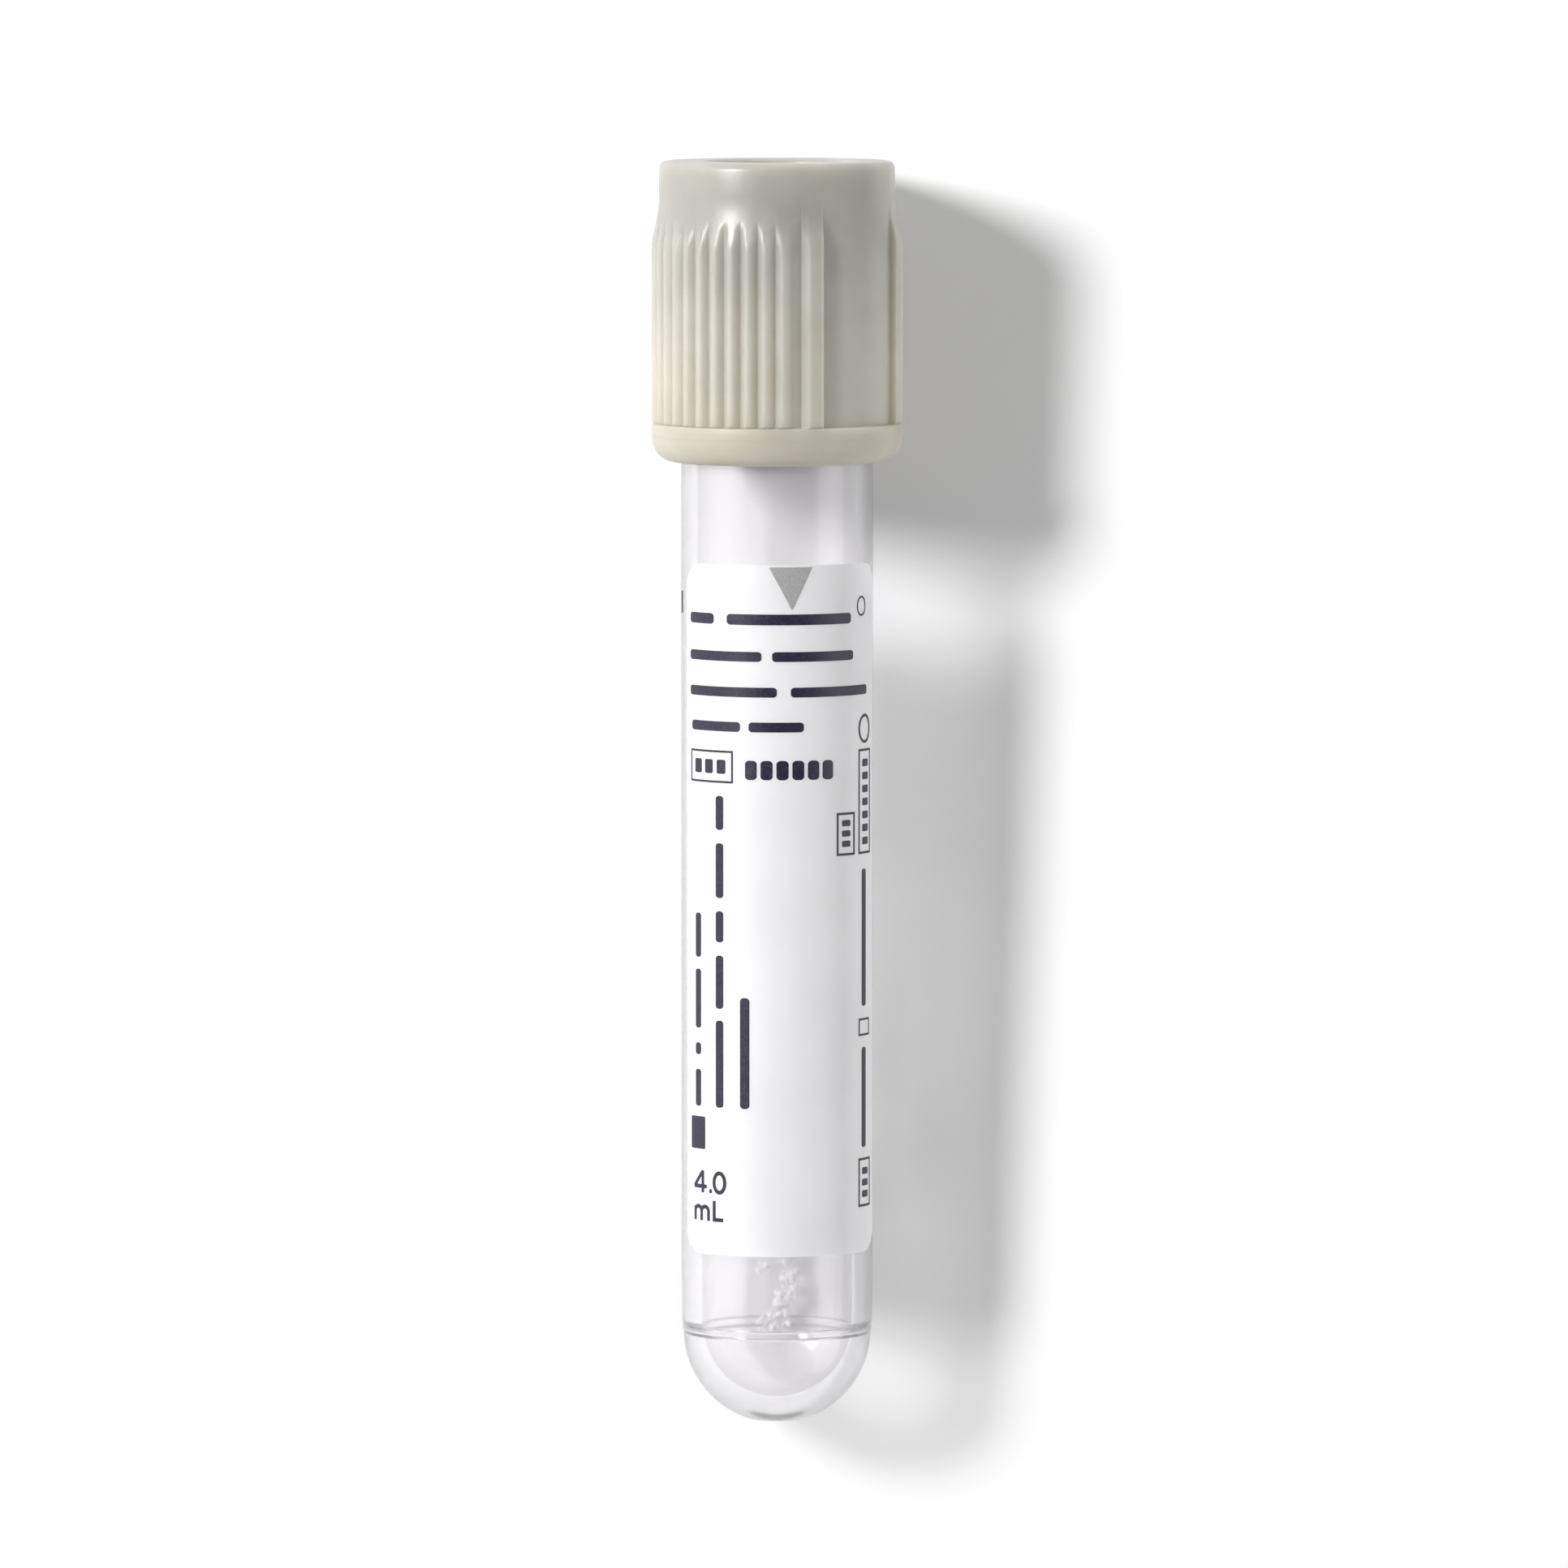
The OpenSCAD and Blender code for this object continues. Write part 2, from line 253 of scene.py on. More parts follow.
class Finish:
    """One node material, built node by node round a Principled shader."""

    def __init__(self, name):
        self.material = bpy.data.materials.new(name)
        self.material.use_nodes = True
        self.tree = self.material.node_tree
        self.tree.nodes.clear()
        self.shader = self.node("ShaderNodeBsdfPrincipled")
        self.output = self.node(
            "ShaderNodeOutputMaterial", {"Surface": self.shader.outputs[0]}
        )
        self.place = self.node("ShaderNodeTexCoord").outputs["Object"]

    def node(self, kind, sockets=None, **settings):
        """A new node of this material."""
        return add_node(self.tree, kind, sockets or {}, **settings)

    def set(self, **values):
        """Shader sockets by name, with _ for a space: plain values or node outputs."""
        for key, value in values.items():
            feed(self.tree, self.shader.inputs[key.replace("_", " ")], value)

    def noise(self, scale, detail=3.0, rough=0.5, vector=None):
        """Soft noise from 0 to 1, with about scale waves to the metre."""
        sockets = {"Scale": scale, "Detail": detail, "Roughness": rough}
        sockets["Vector"] = vector or self.place
        return self.node("ShaderNodeTexNoise", sockets).outputs["Fac"]

    def cells(self, scale):
        """Distance from the middle of the nearest of many small cells."""
        sockets = {"Vector": self.place, "Scale": scale}
        return self.node("ShaderNodeTexVoronoi", sockets).outputs["Distance"]

    def stretched(self, along):
        """The piece's coordinates, squeezed along the tube's axis."""
        sockets = {"Vector": self.place, "Scale": (1.0, along, 1.0)}
        return self.node("ShaderNodeMapping", sockets).outputs[0]

    def height(self):
        """Distance along the tube's axis from its tip, in metres."""
        dot = self.node(
            "ShaderNodeVectorMath", {0: self.place, 1: ALONG}, operation="DOT_PRODUCT"
        )
        from_tip = {0: dot.outputs["Value"], 1: -TIP.dot(ALONG)}
        return self.node("ShaderNodeMath", from_tip, operation="ADD").outputs[0]

    def remap(self, value, low, high, out_low=0.0, out_high=1.0):
        """The value, moved from the range low to high onto the range of the output."""
        sockets = {"Value": value, "From Min": low, "From Max": high}
        sockets.update({"To Min": out_low, "To Max": out_high})
        return self.node("ShaderNodeMapRange", sockets).outputs["Result"]

    def blend(self, share, first, second):
        """The colour first where share is 0, and second where it is 1."""
        sockets = {MIX_SHARE: share}
        for key, colour in ((MIX_FIRST, first), (MIX_SECOND, second)):
            sockets[key] = (*colour, 1) if isinstance(colour, tuple) else colour
        return self.node("ShaderNodeMix", sockets, data_type="RGBA").outputs[MIX_RESULT]

    def ramp(self, value, low, high, first, second):
        """The colour first where the value is low, and second where it is high."""
        return self.blend(self.remap(value, low, high), first, second)

    def facing(self):
        """0 where a ray meets the surface squarely, rising to 1 at grazing angles."""
        return self.node("ShaderNodeLayerWeight", {"Blend": 0.5}).outputs["Facing"]

    def mix_shader(self, share, other):
        """Puts the given share of another shader in with what the surface shows."""
        surface = self.output.inputs["Surface"]
        sockets = {0: share, 1: surface.links[0].from_socket, 2: other.outputs[0]}
        feed(self.tree, surface, self.node("ShaderNodeMixShader", sockets).outputs[0])

    def let_light_through(self, square, grazing, rays=("Is Shadow Ray",)):
        """Light shines straight through, tinted by the way it meets the surface."""
        tint = self.blend(self.facing(), square, grazing)
        clear = self.node("ShaderNodeBsdfTransparent", {"Color": tint})
        path = self.node("ShaderNodeLightPath")
        for ray in rays:
            self.mix_shader(path.outputs[ray], clear)

    def glow_through(self, share, colour):
        """Lets a share of the light on the far side show, as thin paper does."""
        self.mix_shader(share, self.node("ShaderNodeBsdfTranslucent", {"Color": colour}))

    def bump(self, height, depth, under=None):
        """A normal from a height of 0 to 1 that stands depth metres."""
        sockets = {"Strength": 1.0, "Distance": depth, "Height": height}
        if under is not None:
            sockets["Normal"] = under
        return self.node("ShaderNodeBump", sockets).outputs["Normal"]


def dress(piece, finish, body, node=None):
    """Gives a piece its material and its body, and hides the CAD node it stands for."""
    piece.data.materials.append(finish.material)
    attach(piece, body)
    if node:
        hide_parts(node)


# -------------------------------- properties

TIP_WALL = 1.3  # thickness of the wall at the tip of the round end


class TubeSettings(bpy.types.PropertyGroup):
    """Sizes and colour of the clear tube"""

    length: bpy.props.FloatProperty(
        name="Length",
        description="Length of the tube from its round end to its rim",
        default=TUBE_HIGH * MM,
        unit="LENGTH",
    )
    radius: bpy.props.FloatProperty(
        name="Radius",
        description="Outer radius of the barrel",
        default=TUBE_RADIUS * MM,
        unit="LENGTH",
    )
    tip_wall: bpy.props.FloatProperty(
        name="Tip wall",
        description="Thickness of the wall at the tip of the round end",
        default=TIP_WALL * MM,
        unit="LENGTH",
    )
    tint: bpy.props.FloatVectorProperty(
        name="Tint",
        description="Colour of the light that passes through the plastic",
        default=(0.982, 0.97, 0.99),
        subtype="COLOR",
        min=0,
        max=1,
    )


class ClosureSettings(bpy.types.PropertyGroup):
    """Sizes and colours of the shield and the stopper"""

    radius: bpy.props.FloatProperty(
        name="Radius",
        description="Radius of the shield over its belt",
        default=SHIELD_RADIUS * MM,
        unit="LENGTH",
    )
    rib_depth: bpy.props.FloatProperty(
        name="Rib depth",
        description="How far the ribs stand above the collar",
        default=0.0005,
        unit="LENGTH",
    )
    shield_colour: bpy.props.FloatVectorProperty(
        name="Shield colour",
        description="Colour of the moulded shield",
        default=(0.465, 0.455, 0.418),
        subtype="COLOR",
        min=0,
        max=1,
    )
    stopper_colour: bpy.props.FloatVectorProperty(
        name="Stopper colour",
        description="Colour of the rubber stopper",
        default=(0.16, 0.16, 0.165),
        subtype="COLOR",
        min=0,
        max=1,
    )


class LabelSettings(bpy.types.PropertyGroup):
    """Sizes and colours of the label and its print"""

    low: bpy.props.FloatProperty(
        name="Lower edge",
        description="Height of the label's lower edge above the tip",
        default=LABEL_LOW * MM,
        unit="LENGTH",
    )
    high: bpy.props.FloatProperty(
        name="Upper edge",
        description="Height of the label's upper edge above the tip",
        default=LABEL_HIGH * MM,
        unit="LENGTH",
    )
    corner: bpy.props.FloatProperty(
        name="Corner radius",
        description="Radius of the label's corners",
        default=0.0019,
        unit="LENGTH",
    )
    paper: bpy.props.FloatVectorProperty(
        name="Paper",
        description="Colour of the label's paper",
        default=(0.93, 0.93, 0.94),
        subtype="COLOR",
        min=0,
        max=1,
    )
    ink: bpy.props.FloatVectorProperty(
        name="Ink",
        description="Colour of the printed bars and boxes",
        default=(0.012, 0.01, 0.032),
        subtype="COLOR",
        min=0,
        max=1,
    )
    pointer: bpy.props.FloatVectorProperty(
        name="Pointer",
        description="Colour of the grey pointer at the label's upper edge",
        default=(0.33, 0.33, 0.33),
        subtype="COLOR",
        min=0,
        max=1,
    )


class AdditiveSettings(bpy.types.PropertyGroup):
    """Number of grains and colour of the dry additive"""

    grains: bpy.props.IntProperty(
        name="Grains",
        description="Number of loose crystals in all the clumps together",
        default=420,
        min=0,
        max=900,
    )
    colour: bpy.props.FloatVectorProperty(
        name="Colour",
        description="Colour of the powder",
        default=(0.97, 0.97, 0.98),
        subtype="COLOR",
        min=0,
        max=1,
    )


class StageSettings(bpy.types.PropertyGroup):
    """Floor, lights and camera"""

    floor_side: bpy.props.FloatProperty(
        name="Floor side",
        description="Side of the square floor",
        default=6.0,
        unit="LENGTH",
    )
    floor_colour: bpy.props.FloatVectorProperty(
        name="Floor colour",
        description="Colour of the floor",
        default=(0.98, 0.98, 0.98),
        subtype="COLOR",
        min=0,
        max=1,
    )
    key_power: bpy.props.FloatProperty(
        name="Key power",
        description="Power of the main light, in watts",
        default=12.0,
        min=0,
    )
    side_power: bpy.props.FloatProperty(
        name="Side power",
        description="Power of the low soft light from the right, in watts",
        default=4.2,
        min=0,
    )
    fill_level: bpy.props.FloatProperty(
        name="Fill level",
        description="Brightness of the soft light from overhead",
        default=0.17,
        min=0,
    )
    horizon_level: bpy.props.FloatProperty(
        name="Horizon level",
        description="Brightness of the soft light from low down on every side",
        default=1.3,
        min=0,
    )
    camera_height: bpy.props.FloatProperty(
        name="Camera height",
        description="Height of the camera above the floor",
        default=0.9095,
        unit="LENGTH",
    )


# -------------------------------- clear tube

DOME_RADIUS, FOOT_RADIUS = 6.35, 6.45  # the round end, and the barrel just above it
RING_HEIGHT, RING_WIDTH = 6.03, 0.5  # the parting ring, above the tip
RING_RADIUS, RING_ROUND = 6.41, 0.02
LOW_BEVEL, HIGH_BEVEL = 0.1, 0.08  # height of the ring's two sloping edges
LOW_GROOVE, HIGH_GROOVE = 6.22, 6.3  # radius of the fine grooves beside the ring
BARREL_FOOT = 11.0  # above this height the barrel is a true cylinder
LEAD_IN, RIM_TAPER = 0.5, 0.05  # from this far below the shield, it narrows to the rim
RIM_ROUND, MOUTH_ROUND = 0.35, 0.12
BORE_BASE_RADIUS, BORE_MOUTH_RADIUS = 5.1, 5.42
BORE_SEAT = 9.0  # depth of the straight bore that seals round the plug


def tube_profile(length, radius, tip_wall):
    """(r, s) points from the tip up the outside, over the rim and down the bore."""
    flat = math.sqrt(DOME_RADIUS**2 - RING_HEIGHT**2)  # radius of the flat at the tip
    start = -math.degrees(math.acos(flat / DOME_RADIUS))
    ring_top = RING_HEIGHT + RING_WIDTH
    bore_centre = tip_wall + BORE_BASE_RADIUS
    sides = [
        (LOW_GROOVE, RING_HEIGHT, RING_ROUND),
        (RING_RADIUS, RING_HEIGHT + LOW_BEVEL, RING_ROUND),
        (RING_RADIUS, ring_top - HIGH_BEVEL, RING_ROUND),
        (HIGH_GROOVE, ring_top, RING_ROUND),
        (FOOT_RADIUS, ring_top + LOW_BEVEL, RING_ROUND),
        (radius, BARREL_FOOT, 0),
        (radius, SHIELD_LOW - LEAD_IN, 0),
        (radius - RIM_TAPER, length, RIM_ROUND),
        (BORE_MOUTH_RADIUS, length, MOUTH_ROUND),
        (BORE_MOUTH_RADIUS, length - BORE_SEAT, 0),
        (BORE_BASE_RADIUS, bore_centre, 0),
    ]
    dome = arc((0, RING_HEIGHT), DOME_RADIUS, start, -1, 46)
    bottom = arc((0, bore_centre), BORE_BASE_RADIUS, -1.5, -90, 48)
    return [(0, 0), (flat * 0.5, 0)] + dome + rounded(sides) + bottom


class SAMPLE_OT_tube(bpy.types.Operator):
    """Builds the clear tube with its round end and its parting ring"""

    bl_idname = "sample.tube"
    bl_label = "Clear Tube"

    def execute(self, context):
        sizes = context.scene.sample_tube
        profile = tube_profile(sizes.length / MM, sizes.radius / MM, sizes.tip_wall / MM)
        tube = lathe("clear_tube", profile)
        smooth(tube, 28)
        finish = Finish("clear moulded plastic")
        waves = finish.noise(130, 2, 0.4, finish.stretched(0.12))
        tint = tuple(sizes.tint)
        finish.set(
            Base_Color=finish.ramp(finish.facing(), 0.2, 0.9, tint, toned(tint, 0.5)),
            Roughness=0.09,
            IOR=1.5,
            Transmission_Weight=0.86,
            Normal=finish.bump(waves, 0.00001),
        )
        middle, edge = (0.965, 0.962, 0.967), (0.62, 0.615, 0.62)
        finish.let_light_through(middle, edge, rays=("Is Diffuse Ray", "Is Shadow Ray"))
        dress(tube, finish, "tube_body", "tube")
        return {"FINISHED"}


# -------------------------------- shield

# Angles of the grips, in degrees.
RIB_PITCH, NARROW_RIBS = 8.35, 12
BROAD_GAP = 14.2  # from the last narrow rib's crest to the broad rib's middle
GRIP_TURN = -42.55  # from the top of the lying tube to the middle of the first grip
PANEL_TURNS = (70, 78, 86)  # points on the plain panel, from the grip's middle
# Section of the ribs, in millimetres. It is drawn flat, at the radius UNROLLED.
COLLAR_RADIUS, UNROLLED = 7.97, 8.2
RIB_HALF, RIB_ROUND, VALLEY_ROUND = 0.57, 0.42, 0.05
VALLEY_RISE, APEX_RISE = 0.19, 0.13  # a narrow rib's corners, above collar and crest
RAMP_FOOT, RAMP_TOP = 0.85, 0.3  # a broad rib's slope, from its middle to the narrow ribs
STEEP_TOP, STEEP_FOOT = 0.62, 0.75  # and its steep flank, towards the plain panel
RAMP_DROP, STEEP_DROP = 0.05, 0.04  # how far its upper corners lie under the crest
# Heights above the shield's foot, and radii, in millimetres.
FOOT_FILLET, BELT_TOP, BELT_ROUND = 1.6, 2.6, 0.14
BELT_STEP, STEP_LOW, STEP_HIGH, STEP_ROUND = 0.03, 1.74, 1.79, 0.03
LEDGE, RIB_FOOT, LEDGE_RISE = 0.25, 0.28, 0.07  # the belt's upper face, in to the ribs
RIBS_LOW, RIB_ROWS = 0.16, 9  # the ribs run straight from this height above the belt
SHOULDER_LOW, SHOULDER_HIGH, SHOULDER_ROWS = 13.6, 17.9, 34
SHOULDER_PROUD, SHOULDER_BLEND, SHOULDER_SUNK = 0.06, 0.05, 0.012
PORT_RADIUS, TOP_WALL = 4.7, 1.44
CATCH_LOW, CATCH_HEIGHT, CATCH_RADIUS = 12.3, 1.5, 5.75
CHAMBER_RADIUS, SKIRT_BORE = 6.7, 6.82
STOPPER_SHADE_LOW, STOPPER_SHADE_HIGH = 7, 16.5  # between these heights painted shade darkens the plastic, standing in for light lost into the dark stopper behind it


def grip_corners(crest):
    """Corners of one finger grip's section, unrolled: (arc, r, fillet) in mm."""
    degree = math.radians(UNROLLED)
    run = (NARROW_RIBS - 1) * RIB_PITCH / 2
    broad = (run + BROAD_GAP) * degree
    side = [
        (broad - RAMP_FOOT, COLLAR_RADIUS, 0.12),
        (broad - RAMP_TOP, crest - RAMP_DROP, 0.25),
        (broad + STEEP_TOP, crest - STEEP_DROP, 0.12),
        (broad + STEEP_FOOT, COLLAR_RADIUS, 0.1),
    ]
    corners = mirrored(side)
    valley = COLLAR_RADIUS + VALLEY_RISE
    for i in range(NARROW_RIBS):
        at = (-run + i * RIB_PITCH) * degree
        corners += [
            (at - RIB_HALF, valley, VALLEY_ROUND),
            (at, crest + APEX_RISE, RIB_ROUND),
            (at + RIB_HALF, valley, VALLEY_ROUND),
        ]
    return corners + side


def mirrored(corners):
    """The corners of the other side of a grip."""
    return [(-along, r, fillet) for along, r, fillet in reversed(corners)]


def grip_section(crest):
    """Angles round the shield, in radians, and the ribs' radius at each."""
    panel = [(turn * math.radians(UNROLLED), COLLAR_RADIUS, 0) for turn in PANEL_TURNS]
    line = rounded(mirrored(panel) + grip_corners(crest) + panel, degrees_a_step=20)
    turns, radii = [], []
    for half in (0, 180):
        for along, r in line:
            turns.append(math.radians(GRIP_TURN + half) + along / UNROLLED)
            radii.append(r)
    return np.array(turns), np.array(radii)


def soft_least(a, b, blend):
    """The lesser of a and b, with a rounded change from one to the other."""
    h = np.clip(0.5 + 0.5 * (b - a) / blend, 0, 1)
    return b * (1 - h) + a * h - blend * h * (1 - h)


def belt_rings(radius):
    """(r, height) points from the bore, round the foot and up to the belt's top."""
    face = radius - BELT_STEP
    foot_centre = face - FOOT_FILLET
    lead_in = [(SKIRT_BORE, 0.35), (SKIRT_BORE + 0.22, 0.03), (foot_centre, 0.0)]
    foot = arc((foot_centre, FOOT_FILLET), FOOT_FILLET, -84, 0, 14)
    belt = [
        (face, FOOT_FILLET + 0.02, 0),
        (face, STEP_LOW, STEP_ROUND),
        (radius, STEP_HIGH, STEP_ROUND),
        (radius, BELT_TOP, BELT_ROUND),
        (radius - LEDGE, BELT_TOP, 0),
    ]
    return lead_in + foot + rounded(belt, degrees_a_step=22)


def inner_rings(height):
    """(r, height) points over the collar's top, through the port and down inside."""
    roof, catch_top = height - TOP_WALL, CATCH_LOW + CATCH_HEIGHT
    corners = [
        (COLLAR_RADIUS, SHOULDER_HIGH + 0.3, 0),
        (COLLAR_RADIUS - 0.01, height, 0.5),
        (PORT_RADIUS, height, 0.3),
        (PORT_RADIUS, roof, 0.1),
        (CHAMBER_RADIUS, roof, 0.2),
        (CHAMBER_RADIUS, catch_top, 0.1),
        (CATCH_RADIUS, catch_top, 0.15),
        (CATCH_RADIUS, CATCH_LOW, 0.3),
        (SKIRT_BORE, CATCH_LOW, 0.15),
        (SKIRT_BORE, 0.8, 0),
    ]
    return rounded(corners, degrees_a_step=22)


def rib_rows(section, radius):
    """(r, height) rows from the belt's top up the ribs and over their shoulder."""
    foot = radius - RIB_FOOT
    run_in = np.minimum(section, foot + 0.2) - foot
    rows = [
        (foot + run_in * share, BELT_TOP + LEDGE_RISE * share**2)
        for share in (0.0, 0.35, 0.75, 1.0)
    ]
    heights = np.linspace(BELT_TOP + RIBS_LOW, SHOULDER_LOW, RIB_ROWS)
    rows += [(section, height) for height in heights]
    for share in np.linspace(0, 1, SHOULDER_ROWS)[1:]:
        bulge = (1 + math.cos(math.pi * share)) / 2
        envelope = COLLAR_RADIUS + (radius - COLLAR_RADIUS + SHOULDER_PROUD) * bulge
        shaped = soft_least(section, envelope, SHOULDER_BLEND)
        height = SHOULDER_LOW + share * (SHOULDER_HIGH - SHOULDER_LOW)
        rows.append((np.maximum(shaped, COLLAR_RADIUS - SHOULDER_SUNK), height))
    return rows


def shield_grid(radius, crest):
    """Arrays of r and s, one row for each profile point, and the angles round."""
    turns, section = grip_section(crest)
    rows = (
        belt_rings(radius)
        + rib_rows(section, radius)
        + inner_rings(SHIELD_HIGH - SHIELD_LOW)
    )
    whole = np.ones(len(turns))
    r = np.array([row * whole for row, _ in rows])
    s = np.array([height * whole for _, height in rows]) + SHIELD_LOW
    return r, s, turns


class SAMPLE_OT_shield(bpy.types.Operator):
    """Builds the ribbed shield that snaps over the stopper"""

    bl_idname = "sample.shield"
    bl_label = "Shield"

    def execute(self, context):
        sizes = context.scene.sample_closure
        crest = COLLAR_RADIUS + sizes.rib_depth / MM
        shield = skin("ribbed_shield", *shield_grid(sizes.radius / MM, crest), closed=True)
        smooth(shield, 40)
        finish = Finish("moulded shield plastic")
        mottle = finish.noise(260, 4, 0.55)
        flecked = finish.remap(mottle, 0.4, 0.62, 0, 0.12)
        plain, fleck = tuple(sizes.shield_colour), (0.68, 0.66, 0.6)
        # painted shade: a darker copy of the colour, ramped in with height where the
        # stopper lies behind the plastic
        warm, painted_stopper_shade = toned(plain, 1.0, 0.96, 0.88), toned(plain, 0.75, 0.75, 0.745)
        patchy = finish.ramp(finish.noise(70, 2, 0.5), 0.35, 0.65, plain, warm)
        low, high = (SHIELD_LOW + STOPPER_SHADE_LOW) * MM, (SHIELD_LOW + STOPPER_SHADE_HIGH) * MM
        base = finish.ramp(finish.height(), low, high, patchy, painted_stopper_shade)
        swell = finish.bump(finish.noise(900, 3), 0.000012)
        finish.set(
            Base_Color=finish.blend(flecked, base, fleck),
            Roughness=finish.remap(mottle, 0.3, 0.7, 0.32, 0.4),
            IOR=1.5,
            Subsurface_Weight=0.8,
            Subsurface_Radius=(1.0, 0.88, 0.7),
            Subsurface_Scale=0.004,
            Normal=finish.bump(finish.noise(9000, 2, 0.6), 0.000004, under=swell),
        )
        dress(shield, finish, "closure", "shield")
        return {"FINISHED"}


# -------------------------------- stopper

PLUG_RADIUS, PLUG_BEVEL = 5.38, (0.45, 0.5)  # the bevel's width and height
PLUG_HOLLOW_RADIUS, PLUG_HOLLOW = 3.3, 3.4
FLANGE_LOW_HEIGHT, NECK_RADIUS = 2.2, 5.6
WELL_RADIUS, WELL_DEPTH, DISH_RADIUS, DISH_DEPTH = 3.3, 7.2, 4.2, 2.2


def stopper_profile():
    """(r, s) points from the plug's hollow, up the outside and down the needle well."""
    low, high, flange = STOPPER_LOW, STOPPER_HIGH, STOPPER_RADIUS
    rim = TUBE_HIGH
    neck_low, neck_high = rim + FLANGE_LOW_HEIGHT, SHIELD_LOW + CATCH_LOW + CATCH_HEIGHT
    corners = [
        (0, low + PLUG_HOLLOW, 0),
        (PLUG_HOLLOW_RADIUS, low + PLUG_HOLLOW, 0.6),
        (PLUG_HOLLOW_RADIUS, low, 0.25),
        (PLUG_RADIUS - PLUG_BEVEL[0], low, 0.2),
        (PLUG_RADIUS, low + PLUG_BEVEL[1], 0.3),
        (PLUG_RADIUS, rim, 0.05),
        (flange, rim, 0.25),
        (flange, neck_low, 0.3),
        (NECK_RADIUS, neck_low, 0.2),
        (NECK_RADIUS, neck_high, 0.2),
        (flange, neck_high, 0.3),
        (flange, high, 0.35),
        (DISH_RADIUS, high, 0.35),
        (WELL_RADIUS, high - DISH_DEPTH, 0.6),
        (WELL_RADIUS, high - WELL_DEPTH, 0.8),
        (0, high - WELL_DEPTH, 0),
    ]
    return rounded(corners)


class SAMPLE_OT_stopper(bpy.types.Operator):
    """Builds the rubber stopper with its plug and needle well"""

    bl_idname = "sample.stopper"
    bl_label = "Stopper"

    def execute(self, context):
        stopper = lathe("rubber_stopper", stopper_profile(), 160)
        smooth(stopper)
        finish = Finish("stopper rubber")
        bloom = finish.noise(420, 4, 0.6)
        grey = tuple(context.scene.sample_closure.stopper_colour)
        swell = finish.bump(finish.noise(700, 3), 0.00002)
        finish.set(
            Base_Color=finish.ramp(bloom, 0.35, 0.7, grey, toned(grey, 1.45)),
            Roughness=finish.remap(bloom, 0.3, 0.7, 0.55, 0.78),
            IOR=1.52,
            Normal=finish.bump(finish.noise(6000, 2), 0.000006, under=swell),
        )
        dress(stopper, finish, "closure", "stopper")
        return {"FINISHED"}


# -------------------------------- label and print

CORNER_ANGLES = range(20, 91, 14)  # degrees round a bar's corner, from its narrow end
BEND = 3  # degrees round the barrel from one cut of a shape to the next
INK_RISE, GREY_RISE, PRINT_SUNK = 0.012, 0.008, 0.004  # mm over and under the surface


def strips(name, shapes, low, high):
    """Thin solids bent round the barrel, between radii low and high.

    Each shape is (pairs, closed); a pair is two points (angle in degrees, s in mm) at
    the two sides of the shape, and the pairs follow each other along it.
    """
    points, faces = [], []
    for pairs, closed in shapes:
        first = len(points)
        for (a0, s0), (a1, s1) in pairs:
            corners = [(low, a0, s0), (low, a1, s1), (high, a1, s1), (high, a0, s0)]
            for r, a, s in corners:
                points.append(place(r, math.radians(a), s)[0])
        count = len(pairs)
        for i in range(count if closed else count - 1):
            here, there = first + 4 * i, first + 4 * ((i + 1) % count)
            for k in range(4):
                n = (k + 1) % 4
                faces.append((here + k, here + n, there + n, there + k))
        if not closed:
            last = first + 4 * (count - 1)
            faces.append((first, first + 3, first + 2, first + 1))
            faces.append((last, last + 1, last + 2, last + 3))
    return make_object(name, points, faces)


def degrees_of(arc_length):
    """Angle, in degrees, that an arc in millimetres takes on the label."""
    return math.degrees(arc_length / LABEL_RADIUS)


def bar(left, right, low, high, corner):
    """A rounded bar between two angles, in degrees, and two heights, in mm."""
    turn = degrees_of(corner)
    ends = [
        (turn * (1 - math.cos(math.radians(a))), corner * (1 - math.sin(math.radians(a))))
        for a in CORNER_ANGLES
    ]
    cuts = 2 + int((right - left) / BEND)
    pairs = [(left + inwards, inset) for inwards, inset in ends]
    pairs += [(a, 0.0) for a in np.linspace(left + turn, right - turn, cuts)[1:-1]]
    pairs += [(right - inwards, inset) for inwards, inset in reversed(ends)]
    return [((a, low + inset), (a, high - inset)) for a, inset in pairs], False


def band(points, width):
    """A line of the given width, in mm, through (angle, s) points; closed if it meets."""
    closed = points[0] == points[-1]
    fine = [points[0]]
    for (a0, s0), (a1, s1) in zip(points, points[1:]):
        for f in np.linspace(0, 1, 2 + int(abs(a1 - a0) / BEND))[1:]:
            fine.append((a0 + f * (a1 - a0), s0 + f * (s1 - s0)))
    flat = [Vector((math.radians(a) * LABEL_RADIUS, s)) for a, s in fine]
    if closed:
        flat = flat[:-1]
    count, pairs = len(flat), []
    for i, here in enumerate(flat):
        before = flat[i - 1] if closed or i else here
        after = flat[(i + 1) % count] if closed or i + 1 < count else here
        one, two = here - before, after - here
        one = one.normalized() if one.length else two.normalized()
        two = two.normalized() if two.length else one
        along = (one + two).normalized()
        side = Vector((-along.y, along.x)) * (width / 2 / max(along.dot(two), 0.5))
        pairs.append(
            tuple(
                (math.degrees(p.x / LABEL_RADIUS), p.y)
                for p in (here - side, here + side)
            )
        )
    return pairs, closed


def box(left, right, low, high, line):
    """The outline of a box, of the given line width."""
    across = list(np.linspace(left, right, 2 + int((right - left) / 4)))
    path = [(a, low) for a in across] + [(a, high) for a in reversed(across)]
    return band(path + [path[0]], line)


def oval(middle, s, half_turn, half_height, line):
    """The outline of an oval, of the given line width."""
    path = [
        (middle + half_turn * math.sin(a), s + half_height * math.cos(a))
        for a in np.linspace(0, 2 * math.pi, 25)[:-1]
    ]
    return band(path + [path[0]], line)


